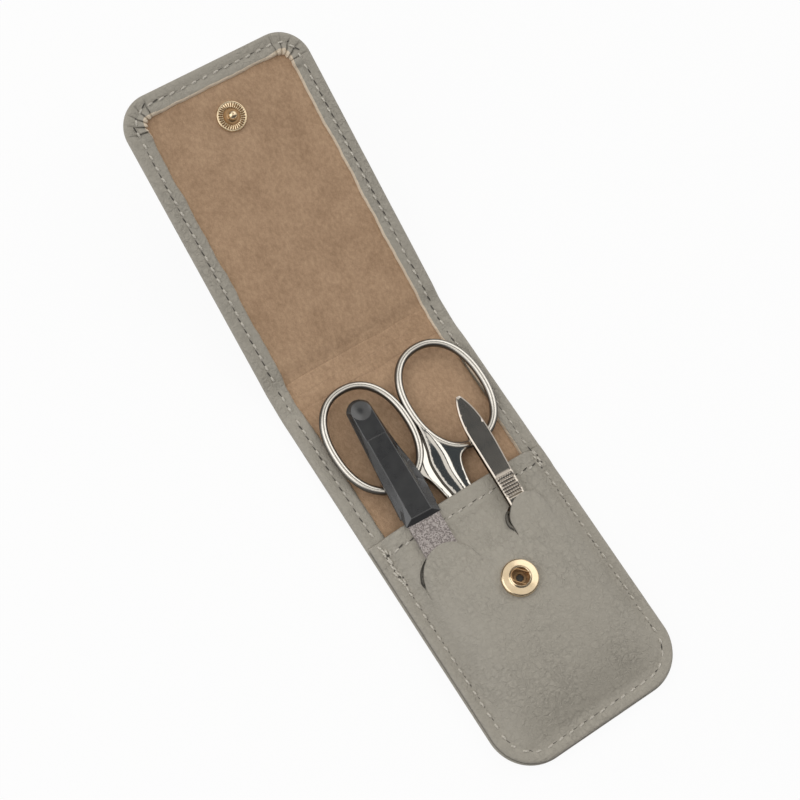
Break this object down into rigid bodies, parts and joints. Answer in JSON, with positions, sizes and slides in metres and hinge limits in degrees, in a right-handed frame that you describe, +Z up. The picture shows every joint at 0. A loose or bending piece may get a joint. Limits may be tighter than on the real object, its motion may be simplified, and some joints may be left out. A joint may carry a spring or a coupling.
{
  "type": "manicure set case",
  "caption": "Stitched leather manicure case with a folding snap flap, holding nail scissors, a nail file and tweezers in its pocket.",
  "frame": {"origin": "centre of the back panel, on its underside", "axes": "+X across the case to the right, +Y along the case from the pocket to the flap, +Z up out of the lining"},
  "size_m": [0.055, 0.1974, 0.0333],
  "materials": {
    "leather": "grained",
    "lining": "suede",
    "board": "matte",
    "snap_brass": "polished",
    "spring_steel": "satin",
    "nickel": "polished",
    "file_handle": "semi-gloss",
    "file_blade": "gritted",
    "dark_steel": "satin"
  },
  "bodies": {
    "case": {"back_leather": "leather", "back_board": "board", "back_lining": "lining", "pocket_front": "leather", "socket_shell": "snap_brass", "socket_spring": "spring_steel", "socket_eyelet": "snap_brass"},
    "spine": {"spine_leather": "leather", "spine_lining": "lining"},
    "flap": {"flap_leather": "leather", "flap_board": "board", "flap_lining": "lining", "flap_stud": "snap_brass", "flap_cap": "snap_brass"},
    "scissors": {"scissor_half_left": "nickel", "scissor_screw": "nickel"},
    "scissors_right": {"scissor_half_right": "nickel"},
    "file": {"file_handle": "file_handle", "file_blade": "file_blade"},
    "tweezers": {"tweezer_arm_top": "dark_steel", "tweezer_heel": "dark_steel"},
    "tweezers_lower_arm": {"tweezer_arm_bottom": "dark_steel"}
  },
  "joints": [
    {"name": "spine_fold", "type": "hinge", "parent": "case", "child": "spine", "pos_m": [0, 0.055, 0.0012], "axis": [-1, 0, 0], "range_deg": [-77.8, 10.2]},
    {"name": "flap_fold", "type": "hinge", "parent": "spine", "child": "flap", "pos_m": [0, 0.06289, 0.00262], "axis": [-1, 0, 0], "range_deg": [-77.8, 10.2]},
    {"name": "scissors_slide", "type": "slide", "parent": "case", "child": "scissors", "axis": [0, 0.9998, 0.0209], "range_m": [0, 0.01]},
    {"name": "scissors_pivot", "type": "hinge", "parent": "scissors", "child": "scissors_right", "pos_m": [0.0013, -0.0014, 0.0036], "axis": [0, 0.0209, -0.9998], "range_deg": [0, 20]},
    {"name": "file_slide", "type": "slide", "parent": "case", "child": "file", "axis": [0.0506, 0.9985, 0.0209], "range_m": [0, 0.022]},
    {"name": "tweezers_slide", "type": "slide", "parent": "case", "child": "tweezers", "axis": [0.0698, 0.9973, 0.0209], "range_m": [0, 0.03]},
    {"name": "tweezers_squeeze", "type": "hinge", "parent": "tweezers", "child": "tweezers_lower_arm", "pos_m": [0.01396, 0.02678, 0.00794], "axis": [-0.9976, 0.0697, 0.0015], "range_deg": [0, 0.7], "stiffness_Nm_per_rad": 0.05}
  ],
  "couplings": [
    {"joint": "flap_fold", "follows": "spine_fold", "ratio": 1}
  ]
}
